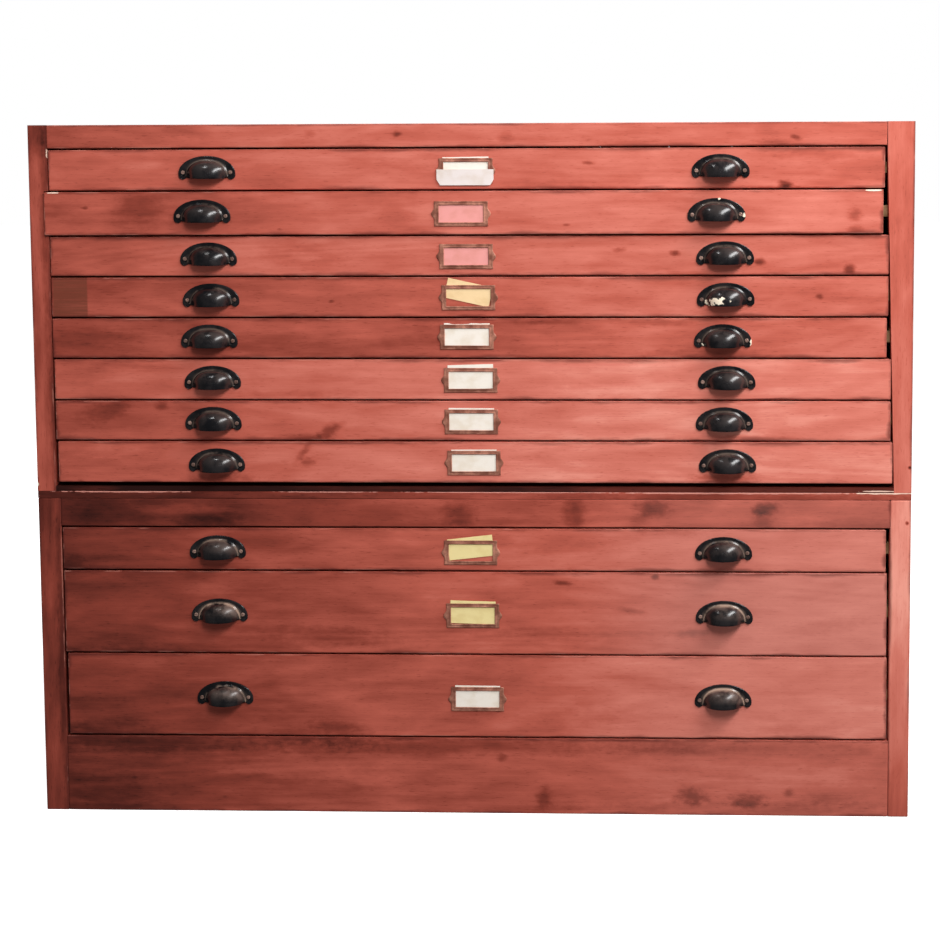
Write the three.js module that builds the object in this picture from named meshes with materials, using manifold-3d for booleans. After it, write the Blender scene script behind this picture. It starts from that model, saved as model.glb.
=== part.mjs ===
// Plan chest for flat sheets of paper, in millimetres: +Z up, fronts facing -Y, +X to the right.
// An upper case with eight shallow drawers stands on a lower case with one shallow drawer and two
// deep ones over a plinth. Every drawer has a grooved tray that hangs on two runners in its case,
// a front board that closes the opening, and two iron cup pulls.
// The origin is on the floor, under the middle of the whole chest with its pulls.

import * as THREE from 'three';
import { mergeVertices } from 'three/addons/utils/BufferGeometryUtils.js';
import Module from 'manifold-3d';

// ---- Driving dimensions -------------------------------------------------------------------

const caseWidth = 1400;
const caseDepth = 950;
const frameThickness = 22;          // stiles and rails, front to back
const sideThickness = 20;
const backThickness = 12;

const lower = {
  name: 'lower', bottom: 0, top: 526.5, stileLeft: 37, stileRight: 33,
  topRail: 45, topBoard: 12, topBoardOverFrame: true,
};
const upper = {
  name: 'upper', bottom: lower.top, top: 1112, stileLeft: 30, stileRight: 43.5, stileRightFoot: 27.5,
  topRail: 37, topBoard: 18, topBoardOverFrame: false,
};
const upperBottomBoard = 8;

const frontGap = 2.5;               // between one drawer front and the next
const frontThickness = 22;
const drawerLength = 900;           // from the face of the front board to the back of the tray
const trayInset = 12;               // from the side of the opening to the side of the tray
const trayWall = 20;
const trayBack = 15;
const trayBottom = 7;
const trayBottomRise = 1;           // tray's lower edge above the front board's lower edge
const trayTopDrop = 4;              // tray's upper edge below the front board's upper edge

const runnerHeight = 18;
const runnerEngagement = 8;         // how far a runner reaches into the tray's groove
const runnerClearance = 1;          // all round a runner, in its groove
const runnerFrontGap = 2;           // behind a closed front board
const runnerEndGap = 8;             // in front of the case's back

// Drawers from the top down. gapLeft and gapRight are the joints beside the front board,
// pullLeft and pullRight the middles of the two pulls, all hand-fitted and none quite alike.
const upperDrawers = [
  { number: '01', height: 64, gapLeft: 1.5, gapRight: 4, pullLeft: -414.5, pullRight: 397 },
  { number: '02', height: 68.5, gapLeft: -6, gapRight: 8.4, pullLeft: -422.5, pullRight: 390.5, proud: 5 },
  { number: '03', height: 62.5, gapLeft: 1, gapRight: 0.8, pullLeft: -414.5, pullRight: 404.5 },
  { number: '04', height: 63, gapLeft: 1.2, gapRight: 2.5, pullLeft: -412, pullRight: 405.5 },
  { number: '05', height: 63, gapLeft: 1, gapRight: 6.3, pullLeft: -416, pullRight: 401 },
  { number: '06', height: 64, gapLeft: 2.5, gapRight: 0.9, pullLeft: -412, pullRight: 407.5 },
  { number: '07', height: 63, gapLeft: 2.5, gapRight: 2.6, pullLeft: -412, pullRight: 404 },
  { number: '08', height: 66, gapLeft: 5, gapRight: 0.8, pullLeft: -408, pullRight: 409 },
];
const lowerDrawers = [
  { number: '09', height: 68, gapLeft: 1.5, gapRight: 6.5, pullLeft: -409.5, pullRight: 403 },
  { number: '10', height: 133.5, gapLeft: 2, gapRight: 4.5, pullLeft: -408.5, pullRight: 404.5 },
  { number: '11', height: 133.5, gapLeft: 4.5, gapRight: 3.5, pullLeft: -402, pullRight: 403 },
];
const wornStileDepth = 7;           // bite in the upper left stile, beside the second drawer
const wornStileMargin = 1.5;        // how far that bite runs past the drawer front, up and down

const pullRise = 3.5;               // middle of a pull above the middle of its drawer front
const pull = {
  halfWidth: 45.5, height: 37, flange: 2.5,
  archSpring: 9,                    // height at which the arched top begins
  earRadius: 7,
  cupHalfWidth: 32, cupHeight: 28, cupReach: 27, cupBottom: 1.5, wall: 2.5,
};

// ---- Materials ----------------------------------------------------------------------------

const stainedWood = new THREE.MeshStandardMaterial({ color: 0xb4523f, roughness: 0.5, metalness: 0 });
const bareWood = new THREE.MeshStandardMaterial({ color: 0xc9a77c, roughness: 0.7, metalness: 0 });
const blackIron = new THREE.MeshStandardMaterial({ color: 0x17181a, roughness: 0.35, metalness: 0.7 });

// ---- Solid tools --------------------------------------------------------------------------

const wasm = await Module();
wasm.setup();

// A rectangular block between two corners.
function block([x0, y0, z0], [x1, y1, z1]) {
  const geometry = new THREE.BoxGeometry(x1 - x0, y1 - y0, z1 - z0);
  return geometry.translate((x0 + x1) / 2, (y0 + y1) / 2, (z0 + z1) / 2);
}

// A closed geometry as a solid for booleans.
function solid(geometry) {
  const bare = geometry.index ? geometry : mergeVertices(geometry);
  bare.deleteAttribute('normal');
  bare.deleteAttribute('uv');
  const merged = mergeVertices(bare);
  const vertProperties = new Float32Array(merged.attributes.position.array);
  const triVerts = new Uint32Array(merged.index.array);
  return new wasm.Manifold(new wasm.Mesh({ numProp: 3, vertProperties, triVerts }));
}

// A solid back as a geometry.
function geometryOf(body) {
  const mesh = body.getMesh();
  const geometry = new THREE.BufferGeometry();
  geometry.setAttribute('position', new THREE.BufferAttribute(mesh.vertProperties, 3));
  geometry.setIndex(new THREE.BufferAttribute(mesh.triVerts, 1));
  geometry.computeVertexNormals();
  return geometry;
}

function joined(geometries) {
  return geometryOf(geometries.map(solid).reduce((whole, next) => whole.add(next)));
}

function addPart(parent, name, geometry, material) {
  const mesh = new THREE.Mesh(geometry, material);
  mesh.name = name;
  parent.add(mesh);
  return mesh;
}

// ---- Layout -------------------------------------------------------------------------------

// Inside faces of a case's stiles, where the opening is narrowest.
function opening(box) {
  return { left: -caseWidth / 2 + box.stileLeft, right: caseWidth / 2 - box.stileRight };
}

// Inside face of the right stile at a height; the upper stile tapers towards its foot.
function rightEdge(box, z) {
  const foot = box.stileRightFoot ?? box.stileRight;
  const rise = (z - box.bottom) / (box.top - box.bottom);
  return caseWidth / 2 - foot - (box.stileRight - foot) * rise;
}

// Gives each drawer of a case its lower edge, working down from the top rail.
function stack(box, drawers) {
  let edge = box.top - box.topRail;
  if (box.topBoardOverFrame) edge -= box.topBoard;
  return drawers.map((drawer) => {
    edge -= frontGap + drawer.height;
    return { ...drawer, box, bottom: edge, middle: edge + drawer.height / 2 };
  });
}

const upperStack = stack(upper, upperDrawers);
const lowerStack = stack(lower, lowerDrawers);
const plinthTop = lowerStack.at(-1).bottom - frontGap;

// ---- Case parts ---------------------------------------------------------------------------

// A side panel with one runner for each drawer of its case; side is -1 on the left, 1 on the right.
function casePanel(box, drawers, side) {
  const top = box.top - box.topBoard;
  const inner = side * (caseWidth / 2 - sideThickness);
  const edge = side < 0 ? opening(box).left : opening(box).right;
  const runnerTip = edge - side * (trayInset + runnerEngagement);
  const span = (a, b) => [Math.min(a, b), Math.max(a, b)];
  const [panelLow, panelHigh] = span(side * caseWidth / 2, inner);
  const [runnerLow, runnerHigh] = span(inner, runnerTip);
  const pieces = [block([panelLow, frameThickness, box.bottom], [panelHigh, caseDepth, top])];
  for (const drawer of drawers) {
    pieces.push(block(
      [runnerLow, frontThickness + runnerFrontGap, drawer.middle - runnerHeight / 2],
      [runnerHigh, caseDepth - backThickness - runnerEndGap, drawer.middle + runnerHeight / 2],
    ));
  }
  return joined(pieces);
}

// A board of the front frame, from its outline of (x, z) points.
function frameBoard(points) {
  const outline = new THREE.Shape(points.map(([x, z]) => new THREE.Vector2(x, z)));
  const board = new THREE.ExtrudeGeometry(outline, { depth: frameThickness, bevelEnabled: false });
  return board.rotateX(Math.PI / 2).translate(0, frameThickness, 0);
}

function stile(box, side) {
  const { bottom } = box;
  const top = box.topBoardOverFrame ? box.top - box.topBoard : box.top;
  const outer = side * caseWidth / 2;
  const inner = (z) => (side < 0 ? opening(box).left : rightEdge(box, z));
  return frameBoard([[outer, bottom], [inner(bottom), bottom], [inner(top), top], [outer, top]]);
}

// The upper left stile, with its inner edge worn back beside the second drawer.
function wornStile(drawer) {
  const { left } = opening(upper);
  const bite = block(
    [left - wornStileDepth, -1, drawer.bottom - wornStileMargin],
    [left + 1, frameThickness + 1, drawer.bottom + drawer.height + wornStileMargin],
  );
  return geometryOf(solid(stile(upper, -1)).subtract(solid(bite)));
}

function rail(box, bottom, top) {
  const { left } = opening(box);
  return frameBoard([[left, bottom], [rightEdge(box, bottom), bottom], [rightEdge(box, top), top], [left, top]]);
}

// A back board between the side panels.
function backBoard(bottom, top) {
  const inner = caseWidth / 2 - sideThickness;
  return block([-inner, caseDepth - backThickness, bottom], [inner, caseDepth, top]);
}

// The upper case's bottom board, whose narrower front edge shows between the stiles.
function bottomBoard() {
  const { left } = opening(upper);
  const inner = caseWidth / 2 - sideThickness;
  const top = upper.bottom + upperBottomBoard;
  const right = rightEdge(upper, top);
  return joined([
    block([left, 0, upper.bottom], [right, frameThickness, top]),
    block([-inner, frameThickness, upper.bottom], [inner, caseDepth, top]),
  ]);
}

function topBoard(box) {
  const front = box.topBoardOverFrame ? 0 : frameThickness;
  return block([-caseWidth / 2, front, box.top - box.topBoard], [caseWidth / 2, caseDepth, box.top]);
}

function buildCase(parent, box, drawers) {
  const frameTop = box.topBoardOverFrame ? box.top - box.topBoard : box.top;
  const backBottom = box === upper ? box.bottom + upperBottomBoard : box.bottom;
  const part = (name, geometry) => addPart(parent, `${box.name}_${name}`, geometry, stainedWood);
  part('side_left', casePanel(box, drawers, -1));
  part('side_right', casePanel(box, drawers, 1));
  part('stile_left', box === upper ? wornStile(drawers[1]) : stile(box, -1));
  part('stile_right', stile(box, 1));
  part('top_rail', rail(box, frameTop - box.topRail, frameTop));
  part('top_board', topBoard(box));
  part('back', backBoard(backBottom, box.top - box.topBoard));
}

// ---- Drawers ------------------------------------------------------------------------------

function frontBoard(drawer) {
  const { left } = opening(drawer.box);
  const top = drawer.bottom + drawer.height;
  return block(
    [left + drawer.gapLeft, 0, drawer.bottom],
    [rightEdge(drawer.box, top) - drawer.gapRight, frontThickness, top],
  );
}

// The tray behind the front board: two grooved sides, a back and a bottom, open at the top.
function tray(drawer) {
  const { left, right } = opening(drawer.box);
  const low = [left + trayInset, frontThickness, drawer.bottom + trayBottomRise];
  const high = [right - trayInset, drawerLength, drawer.bottom + drawer.height - trayTopDrop];
  const hollow = block(
    [low[0] + trayWall, low[1] - 1, low[2] + trayBottom],
    [high[0] - trayWall, high[1] - trayBack, high[2] + 1],
  );
  const grooveDepth = runnerEngagement + runnerClearance;
  const grooveHalf = runnerHeight / 2 + runnerClearance;
  const groove = (x0, x1) => block(
    [x0, low[1] - 1, drawer.middle - grooveHalf],
    [x1, high[1] + 1, drawer.middle + grooveHalf],
  );
  const body = solid(block(low, high))
    .subtract(solid(hollow))
    .subtract(solid(groove(low[0] - 1, low[0] + grooveDepth)))
    .subtract(solid(groove(high[0] - grooveDepth, high[0] + 1)));
  return geometryOf(body);
}

// Half-moon flange with two rounded ears, standing on z = 0 against the plane y = 0.
function pullFlange() {
  const { halfWidth, height, flange, archSpring, earRadius } = pull;
  const earMiddle = halfWidth - earRadius;
  const outline = new THREE.Shape();
  outline.moveTo(halfWidth, archSpring);
  outline.absellipse(0, archSpring, halfWidth, height - archSpring, 0, Math.PI, false, 0);
  outline.lineTo(-halfWidth, earRadius);
  outline.absarc(-earMiddle, earRadius, earRadius, Math.PI, 2 * Math.PI, false);
  outline.lineTo(earMiddle - earRadius, earRadius);
  outline.absarc(earMiddle, earRadius, earRadius, Math.PI, 2 * Math.PI, false);
  outline.closePath();
  const plate = new THREE.ExtrudeGeometry(outline, { depth: flange, bevelEnabled: false, curveSegments: 8 });
  return plate.rotateX(Math.PI / 2);
}

function ellipsoid(halfWidth, reach, height) {
  const geometry = new THREE.SphereGeometry(1, 16, 10);
  return geometry.scale(halfWidth, reach, height).translate(0, 0, pull.cupBottom);
}

// Cup pull: a hollow quarter-ellipsoid hood on the flange, open underneath and behind.
function cupPull() {
  const { cupHalfWidth, cupReach, cupHeight, cupBottom, wall, halfWidth, height } = pull;
  const quarter = block([-halfWidth, -cupReach - 1, cupBottom], [halfWidth, 0, height]);
  const hood = solid(ellipsoid(cupHalfWidth, cupReach, cupHeight)).intersect(solid(quarter));
  const hollow = solid(ellipsoid(cupHalfWidth - wall, cupReach - wall, cupHeight - wall));
  return geometryOf(solid(pullFlange()).add(hood).subtract(hollow));
}

const pullGeometry = cupPull();

function buildDrawer(parent, drawer) {
  const group = new THREE.Group();
  group.position.y = -(drawer.proud ?? 0);
  parent.add(group);
  const name = `drawer_${drawer.number}`;
  addPart(group, `${name}_front`, frontBoard(drawer), stainedWood);
  addPart(group, `${name}_tray`, tray(drawer), bareWood);
  for (const [side, x] of [['left', drawer.pullLeft], ['right', drawer.pullRight]]) {
    const mesh = addPart(group, `${name}_pull_${side}`, pullGeometry, blackIron);
    mesh.position.set(x, 0, drawer.middle + pullRise - pull.height / 2);
  }
}

// ---- Assembly -----------------------------------------------------------------------------

const cabinet = new THREE.Group();
buildCase(cabinet, upper, upperStack);
addPart(cabinet, 'upper_bottom_board', bottomBoard(), stainedWood);
buildCase(cabinet, lower, lowerStack);
addPart(cabinet, 'lower_plinth_rail', rail(lower, lower.bottom, plinthTop), stainedWood);

const allDrawers = [...upperStack, ...lowerStack];
for (const drawer of allDrawers) buildDrawer(cabinet, drawer);

// The middle of the depth, pulls included, lies over the origin.
const mostProud = Math.max(...allDrawers.map((drawer) => drawer.proud ?? 0));
cabinet.position.y = -(caseDepth - pull.cupReach - mostProud) / 2;

const chest = new THREE.Group();
chest.add(cabinet);
export default chest;
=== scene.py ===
"""Looks of an old red-stained plan chest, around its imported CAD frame. Lengths are in metres."""

import math
import random

import bmesh
import bpy
from mathutils import Matrix, Vector, noise


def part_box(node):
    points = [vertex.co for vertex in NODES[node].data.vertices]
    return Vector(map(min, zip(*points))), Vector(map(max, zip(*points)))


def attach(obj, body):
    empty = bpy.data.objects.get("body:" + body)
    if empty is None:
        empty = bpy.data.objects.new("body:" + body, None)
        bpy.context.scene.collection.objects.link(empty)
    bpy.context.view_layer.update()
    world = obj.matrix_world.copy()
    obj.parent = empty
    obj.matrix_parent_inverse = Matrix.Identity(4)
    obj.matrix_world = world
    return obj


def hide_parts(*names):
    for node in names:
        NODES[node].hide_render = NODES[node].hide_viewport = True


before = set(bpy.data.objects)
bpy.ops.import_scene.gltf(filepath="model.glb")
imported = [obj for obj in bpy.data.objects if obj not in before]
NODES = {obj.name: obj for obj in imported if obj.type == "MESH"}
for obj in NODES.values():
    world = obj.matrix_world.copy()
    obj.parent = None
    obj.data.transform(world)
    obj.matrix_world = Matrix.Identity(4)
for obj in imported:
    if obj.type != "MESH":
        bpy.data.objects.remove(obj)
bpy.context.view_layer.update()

MM = 0.001
CASE = "case"
DRAWERS = [f"drawer_{number:02d}" for number in range(1, 12)]
UPPER_DRAWERS = DRAWERS[:8]
FRONT_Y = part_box("upper_stile_left")[0].y
X, Y, Z = 0, 1, 2


# ---- Camera ----

CAMERA_PLACE = Vector((0.317, FRONT_Y - 3.3, 1.056))
CAMERA_YAW = math.radians(2.38)
CAMERA_PITCH = math.radians(-5.42)
CAMERA_ROLL = math.radians(0.23)
CAMERA_LENS = 80.2
CAMERA_SHIFT = (-0.12, -0.12)


def new_object(name, data):
    """An object in the scene, of a mesh, a light or a camera."""
    made = bpy.data.objects.new(name, data)
    bpy.context.scene.collection.objects.link(made)
    return made


def make_camera():
    data = bpy.data.cameras.new("camera")
    data.lens = CAMERA_LENS
    data.sensor_width = 36
    data.shift_x, data.shift_y = CAMERA_SHIFT
    camera = new_object("camera", data)
    turn = (
        Matrix.Rotation(CAMERA_YAW, 4, "Z")
        @ Matrix.Rotation(math.pi / 2 + CAMERA_PITCH, 4, "X")
        @ Matrix.Rotation(-CAMERA_ROLL, 4, "Z")
    )
    camera.matrix_world = Matrix.Translation(CAMERA_PLACE) @ turn
    bpy.context.scene.camera = camera


# ---- Mesh helpers ----


def wobble(position, lane, seed):
    """Smooth random value from about -1 to 1 along a line."""
    return noise.noise(Vector((position, lane * 7.31, seed * 3.17)))


def mesh_piece(name, bodies_of_points, material, smooth=True):
    """An object from a list of (points, faces) bodies, joined in one mesh."""
    points, faces = [], []
    for body_points, body_faces in bodies_of_points:
        offset = len(points)
        points += body_points
        faces += [[index + offset for index in face] for face in body_faces]
    mesh = bpy.data.meshes.new(name)
    mesh.from_pydata([tuple(p) for p in points], [], faces)
    mesh.validate()
    whole = bmesh.new()
    whole.from_mesh(mesh)
    bmesh.ops.recalc_face_normals(whole, faces=whole.faces)
    whole.to_mesh(mesh)
    whole.free()
    mesh.shade_smooth() if smooth else mesh.shade_flat()
    mesh.materials.append(material)
    return new_object(name, mesh)


def loft(loops, closed=False):
    """Skins a row of equal loops of points; open lofts get flat caps."""
    count = len(loops[0])
    points = [point for loop in loops for point in loop]
    faces = []
    spans = len(loops) if closed else len(loops) - 1
    for row in range(spans):
        near, far = row * count, ((row + 1) % len(loops)) * count
        for k in range(count):
            after = (k + 1) % count
            faces.append([near + k, near + after, far + after, far + k])
    if not closed:
        faces.append(list(range(count))[::-1])
        faces.append([(len(loops) - 1) * count + k for k in range(count)])
    return points, faces


def grid_faces(rows, count):
    """Quads of a grid of points, in rows of count points."""
    starts = [row * count + k for row in range(rows - 1) for k in range(count - 1)]
    return [[a, a + 1, a + count + 1, a + count] for a in starts]


def grid_rim(rows, count):
    """The points round the outside of such a grid, in order."""
    rim = list(range(count))
    rim += [row * count + count - 1 for row in range(1, rows)]
    rim += [(rows - 1) * count + k for k in range(count - 2, -1, -1)]
    rim += [row * count for row in range(rows - 2, 0, -1)]
    return rim


def rim_faces(rim, other):
    """Quads between two equal rings of points."""
    pairs = list(zip(rim, other))
    return [[a, b, d, c] for (a, c), (b, d) in zip(pairs, pairs[1:] + pairs[:1])]


def soften(piece, width):
    """Rounds the arrises of a piece made of flat faces."""
    bevel = piece.modifiers.new("soft_edges", "BEVEL")
    bevel.width = width
    bevel.segments = 3
    bevel.limit_method = "ANGLE"


def even_normals(piece):
    """Keeps large flat faces looking flat beside rounded edges."""
    modifier = piece.modifiers.new("even_normals", "WEIGHTED_NORMAL")
    modifier.weight = 90
    modifier.keep_sharp = True


def wooden_piece(name, bodies, material, rides, node=None, arris=None):
    """Boards of wood that ride on a body; arris is given for bodies with sharp edges."""
    piece = mesh_piece(name, bodies, material)
    if arris:
        soften(piece, arris)
    even_normals(piece)
    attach(piece, rides)
    if node:
        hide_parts(node)


# ---- Boards ----

ARC_STEPS = 3


def board_body(low, high, along, seed, radius=1.2 * MM, wear=0.8 * MM, step=0.03, chips=0.0):
    """A sawn board as one closed body: arrises of uneven radius, worn inwards from its box."""
    low, high = Vector(low), Vector(high)
    across = [axis for axis in (X, Y, Z) if axis != along]
    length = high[along] - low[along]
    size = [high[axis] - low[axis] for axis in across]
    limit = min(size) * 0.45
    steps = max(3, int(length / step))
    places = [0.0, 0.35 * radius, radius, 2.5 * radius]
    places += [length * k / steps for k in range(1, steps)]
    places += [length - 2.5 * radius, length - radius, length - 0.35 * radius, length]
    loops = []
    for place in sorted(places):
        end = min(place, length - place)
        inset = radius - math.sqrt(max(0.0, radius**2 - max(0.0, radius - end) ** 2))
        loop = []
        for corner in range(4):
            side = ((1, 1), (-1, 1), (-1, -1), (1, -1))[corner]
            rough = wobble(place * 9, corner, seed) + 0.5 * wobble(place * 31, corner + 4, seed)
            chip = max(0.0, wobble(place * 17, corner + 9, seed) - 0.42) * chips
            r = min(limit, radius + wear * max(0.0, 0.25 + rough) + chip)
            drift = [
                inset + 0.25 * wear * (1 + wobble(place * 5, corner + 20 + k, seed)) / 2
                for k in range(2)
            ]
            centre = [
                (low[across[k]] if side[k] < 0 else high[across[k]]) - side[k] * (r + drift[k])
                for k in range(2)
            ]
            for arc in range(ARC_STEPS + 1):
                angle = math.pi / 2 * (corner + arc / ARC_STEPS)
                point = [0.0, 0.0, 0.0]
                point[along] = low[along] + place
                point[across[0]] = centre[0] + r * math.cos(angle)
                point[across[1]] = centre[1] + r * math.sin(angle)
                loop.append(point)
        loops.append(loop)
    return loft(loops)


def planks(low, high, along, side, count, seed, gap=0.5 * MM, **shape):
    """Boards laid edge to edge from low to high, side by side along the axis called side."""
    low, high = Vector(low), Vector(high)
    rng = random.Random(seed)
    shares = [rng.uniform(0.8, 1.2) for _ in range(count)]
    total = sum(shares)
    bodies, edge = [], low[side]
    for index, share in enumerate(shares):
        width = (high[side] - low[side]) * share / total
        a, b = low.copy(), high.copy()
        a[side] = edge + (gap / 2 if index else 0)
        b[side] = edge + width - (gap / 2 if index < count - 1 else 0)
        bodies.append(board_body(a, b, along, seed + index, **shape))
        edge += width
    return bodies


# ---- Shader helpers ----


class Shader:
    """One material's node tree, written as nested calls."""

    def __init__(self, name):
        self.material = bpy.data.materials.new(name)
        self.material.use_nodes = True
        self.tree = self.material.node_tree
        self.tree.nodes.clear()
        output = self.tree.nodes.new("ShaderNodeOutputMaterial")
        self.surface = self.tree.nodes.new("ShaderNodeBsdfPrincipled")
        self.tree.links.new(self.surface.outputs[0], output.inputs[0])

    def node(self, kind, inputs, **settings):
        made = self.tree.nodes.new("ShaderNode" + kind)
        for key, value in settings.items():
            setattr(made, key, value)
        for key, value in inputs.items():
            self.feed(made.inputs[key], value)
        return made

    def feed(self, socket, value):
        if isinstance(value, bpy.types.NodeSocket):
            self.tree.links.new(value, socket)
        elif value is not None:
            socket.default_value = value

    def set(self, **values):
        for key, value in values.items():
            self.feed(self.surface.inputs[key.replace("_", " ")], value)

    def math(self, operation, a, b=None):
        return self.node("Math", {0: a, 1: b}, operation=operation).outputs[0]

    def times(self, a, b):
        return self.math("MULTIPLY", a, b)

    def plus(self, a, b):
        return self.math("ADD", a, b)

    def minus(self, a, b):
        return self.math("SUBTRACT", a, b)

    def mix(self, factor, a, b):
        return self.node("Mix", {0: factor, 6: a, 7: b}, data_type="RGBA").outputs[2]

    def place(self):
        return self.node("TexCoord", {}).outputs["Object"]

    def axes(self, vector):
        return self.node("SeparateXYZ", {0: vector}).outputs

    def vector(self, x, y, z):
        return self.node("CombineXYZ", {0: x, 1: y, 2: z}).outputs[0]

    def stretched(self, vector, scale, offset=(0, 0, 0)):
        inputs = {"Vector": vector, "Location": offset, "Scale": scale}
        return self.node("Mapping", inputs).outputs[0]

    def noise(self, vector, detail=4.0, roughness=0.5, distortion=0.0):
        inputs = {"Vector": vector, "Scale": 1.0, "Detail": detail}
        inputs |= {"Roughness": roughness, "Distortion": distortion}
        return self.node("TexNoise", inputs).outputs[0]

    def grain(self, place, along, across, offset=(0, 0, 0), **look):
        """Noise drawn out along the first axis."""
        return self.noise(self.stretched(place, (along, across, across), offset), **look)

    def spots(self, scale, offset=(0, 0, 0), **look):
        """Noise that is the same in all directions."""
        return self.noise(self.stretched(self.place(), (scale,) * 3, offset), **look)

    def ramp(self, value, stops):
        """A colour from a row of (position, colour) stops."""
        made = self.node("ValToRGB", {0: value})
        elements = made.color_ramp.elements
        while len(elements) < len(stops):
            elements.new(0.5)
        for element, (position, colour) in zip(elements, stops):
            element.position = position
            element.color = colour
        return made.outputs[0]

    def between(self, value, start, end, low=0.0, high=1.0, smooth=True):
        inputs = {0: value, 1: start, 2: end, 3: low, 4: high}
        kind = "SMOOTHSTEP" if smooth else "LINEAR"
        return self.node("MapRange", inputs, interpolation_type=kind).outputs[0]

    def bump(self, height, strength, distance):
        inputs = {"Height": height, "Strength": strength, "Distance": distance}
        return self.node("Bump", inputs).outputs[0]


def grey(level):
    return (level, level, level, 1.0)


# ---- Wood ----


def srgb(red, green, blue):
    """A colour given as it looks on a screen, 0 to 255, as a linear RGBA colour."""
    return tuple(((c / 255 + 0.055) / 1.055) ** 2.4 for c in (red, green, blue)) + (1.0,)


# The red stain from its deepest to its palest.
STAIN = (
    (0.00, srgb(44, 18, 15)),
    (0.20, srgb(98, 40, 31)),
    (0.42, srgb(150, 66, 52)),
    (0.64, srgb(196, 97, 80)),
    (0.84, srgb(222, 126, 109)),
    (1.00, srgb(244, 160, 142)),
)
GRIME = srgb(88, 36, 31)
# Pale arrises: rubbed wear and painted highlight.
RUBBED_AND_HIGHLIGHT = srgb(232, 160, 142)
BARE = srgb(240, 226, 206)
# Hazy pink of a painted sheen on the right end of some boards.
PAINTED_SHEEN = srgb(214, 160, 150)
INLAY = srgb(120, 62, 46)
INLAY_RIM = 1.5 * MM                # half the width of its soft edge
# Pink of the worn top arris under the seam, which also carries painted highlight.
PINK_WEAR_AND_HIGHLIGHT = srgb(214, 142, 128)
CREAM_EDGE = srgb(240, 204, 184)


def grain_place(shader, along, seed):
    """Object place turned so that its first axis runs with the grain, and moved at random."""
    place = shader.axes(shader.place())
    order = [along] + [axis for axis in (Z, X, Y) if axis != along]
    turned = shader.vector(*[place[axis] for axis in order])
    rng = random.Random(seed)
    offset = [rng.uniform(-40, 40) for _ in range(3)]
    return shader.node("VectorMath", {0: turned, 1: offset}, operation="ADD").outputs[0]


def knots(shader, place, spacing, size, share, ragged):
    """Mask of scattered ragged spots; share is how many of the cells, spacing apart, have one."""
    cells = shader.node("TexVoronoi", {"Vector": shader.stretched(place, spacing), "Scale": 1.0})
    distance = shader.plus(cells.outputs["Distance"], shader.times(ragged, size))
    near = shader.between(distance, 1.5 * size, 0.3 * size)
    chosen = shader.between(shader.axes(cells.outputs["Color"])[0], 1.0 - share, 1.01 - share)
    return shader.times(near, chosen)


def rings(shader, place):
    """Growth rings of a flat-sawn board, as long flames: 0 in early wood, 1 in late wood."""
    level = shader.grain(place, 0.9, 8, detail=1.5, roughness=0.35)
    turns = shader.times(level, 16.0)
    return shader.times(shader.math("PINGPONG", turns, 0.5), 2.0)


def edge_distance(shader, low, high, axes):
    """Distance to the nearest edge of a board's box, in metres, along the given axes.

    A face square to an axis has no edge along it, and counts as a metre away.
    """
    place = shader.axes(shader.place())
    facing = shader.axes(shader.node("TexCoord", {}).outputs["Normal"])
    nearest = None
    for axis in axes:
        square = shader.between(shader.math("ABSOLUTE", facing[axis]), 0.8, 0.95)
        for gap in shader.minus(place[axis], low[axis]), shader.minus(high[axis], place[axis]):
            gap = shader.plus(gap, square)
            nearest = gap if nearest is None else shader.math("MINIMUM", nearest, gap)
    return nearest


def mark_mask(shader, x, z, half_x, half_z, ragged, turn=0):
    """Soft mask of a mark on a front, given in millimetres and degrees, with a ragged rim."""
    local = shader.node(
        "Mapping",
        {
            "Vector": shader.place(),
            "Location": (x * MM, 0, z * MM),
            "Rotation": (0, math.radians(turn), 0),
            "Scale": (half_x * MM, 1000, half_z * MM),
        },
        vector_type="TEXTURE",
    ).outputs[0]
    distance = shader.node("VectorMath", {0: local}, operation="LENGTH").outputs["Value"]
    return shader.between(shader.plus(distance, ragged), 1.5, 0.1)


def centred(shader, value, amount):
    """A noise value about 0.5 as a change about 0."""
    return shader.times(shader.minus(value, 0.5), amount)


def inlay_mask(shader, left, right):
    """Where a piece is let into the board, from left to right."""
    x = shader.axes(shader.place())[X]
    after_start = shader.between(x, left - INLAY_RIM, left + INLAY_RIM)
    before_end = shader.between(x, right + INLAY_RIM, right - INLAY_RIM)
    return shader.times(after_start, before_end)


def dirt_mask(shader, place, edge, grime):
    """Dirt in a ragged line along the edges."""
    patch = shader.grain(place, 9, 30, (3, 1, 2), detail=5, roughness=0.6)
    reach = shader.between(patch, 0.35, 0.80, 0.003, 0.011 * grime)
    dirt = shader.between(shader.math("DIVIDE", edge, reach), 1.0, 0.0)
    return shader.times(dirt, shader.between(patch, 0.36, 0.64, 0.35, 0.8))


def rubbed_and_highlight_mask(shader, place, edge):
    """Arrises paled in places by rubbing and painted highlight."""
    worn = shader.grain(place, 16, 50, (5, 8, 1), detail=4, roughness=0.6)
    rim = shader.between(edge, 0.0028, 0.0006)
    return shader.times(rim, shader.between(worn, 0.50, 0.62))


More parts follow.
